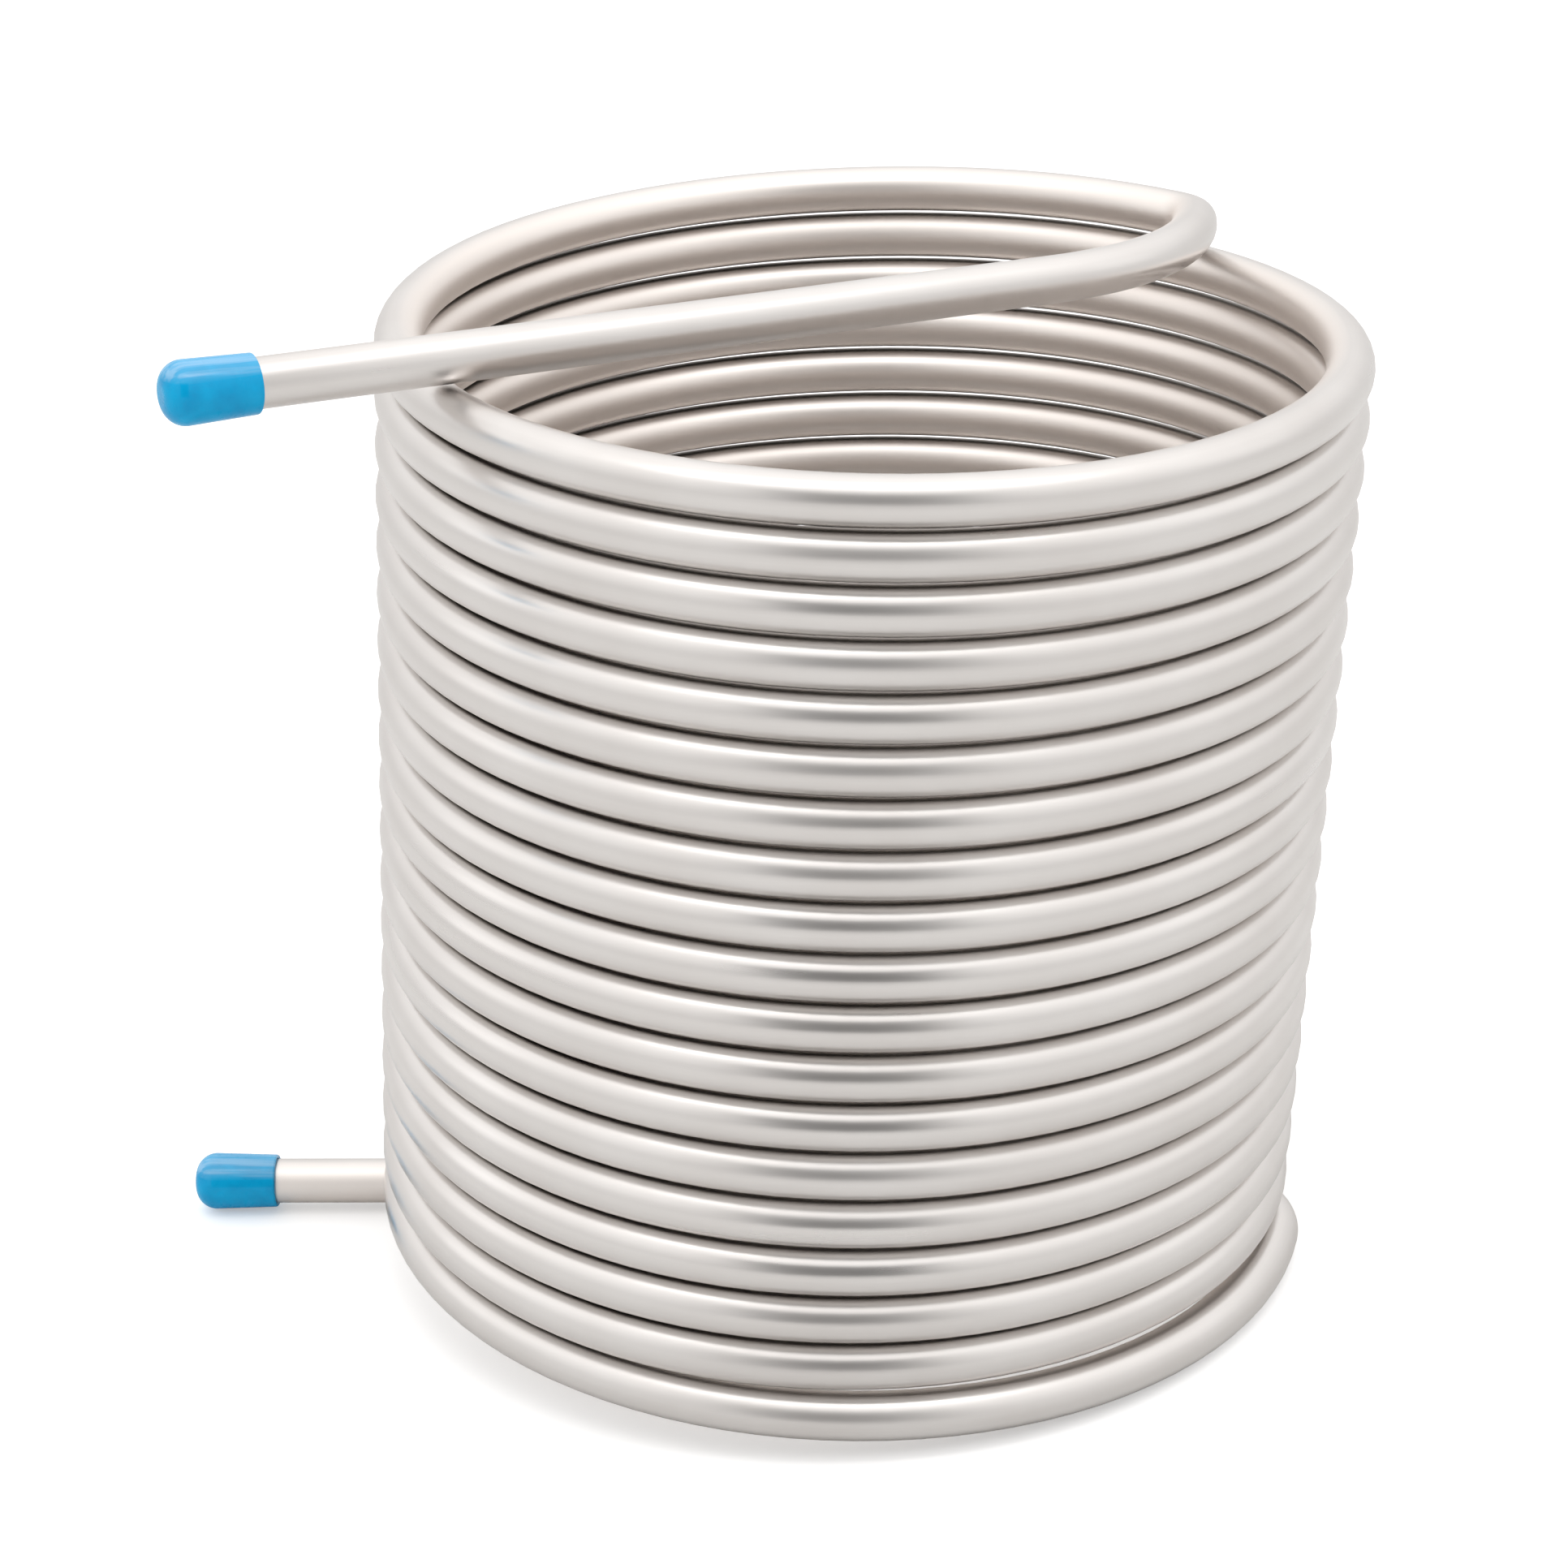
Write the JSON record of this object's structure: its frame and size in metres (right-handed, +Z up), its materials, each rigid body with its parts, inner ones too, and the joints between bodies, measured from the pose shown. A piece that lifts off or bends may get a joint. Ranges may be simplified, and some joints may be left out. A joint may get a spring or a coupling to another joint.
{
  "type": "immersion wort chiller",
  "caption": "Tall close-wound coil of stainless tube for cooling wort, with both straight ends led out to the same side under push-on caps.",
  "frame": {"origin": "on the floor that the chiller stands on, in the middle of its bounding box", "axes": "+X points away from the side where both tube ends come out, +Z is up, +Y is the side towards which the stack of turns leans"},
  "size_m": [0.3311, 0.2728, 0.2808],
  "materials": {
    "tube": "bright drawn stainless steel, softly reflecting, with faint lengthwise drawing lines",
    "cap": "glossy blue dip-moulded vinyl"
  },
  "bodies": {
    "tube": {"coil": "tube", "upper_leg": "tube", "lower_leg": "tube"},
    "cap_upper": {"upper_cap": "cap"},
    "cap_lower": {"lower_cap": "cap"}
  },
  "joints": [
    {"name": "upper_cap_pull", "type": "slide", "parent": "tube", "child": "cap_upper", "axis": [-0.8787, -0.4763, 0.0318], "range_m": [0, 0.03]},
    {"name": "lower_cap_pull", "type": "slide", "parent": "tube", "child": "cap_lower", "axis": [-1, 0, 0.0092], "range_m": [0, 0.03]}
  ]
}
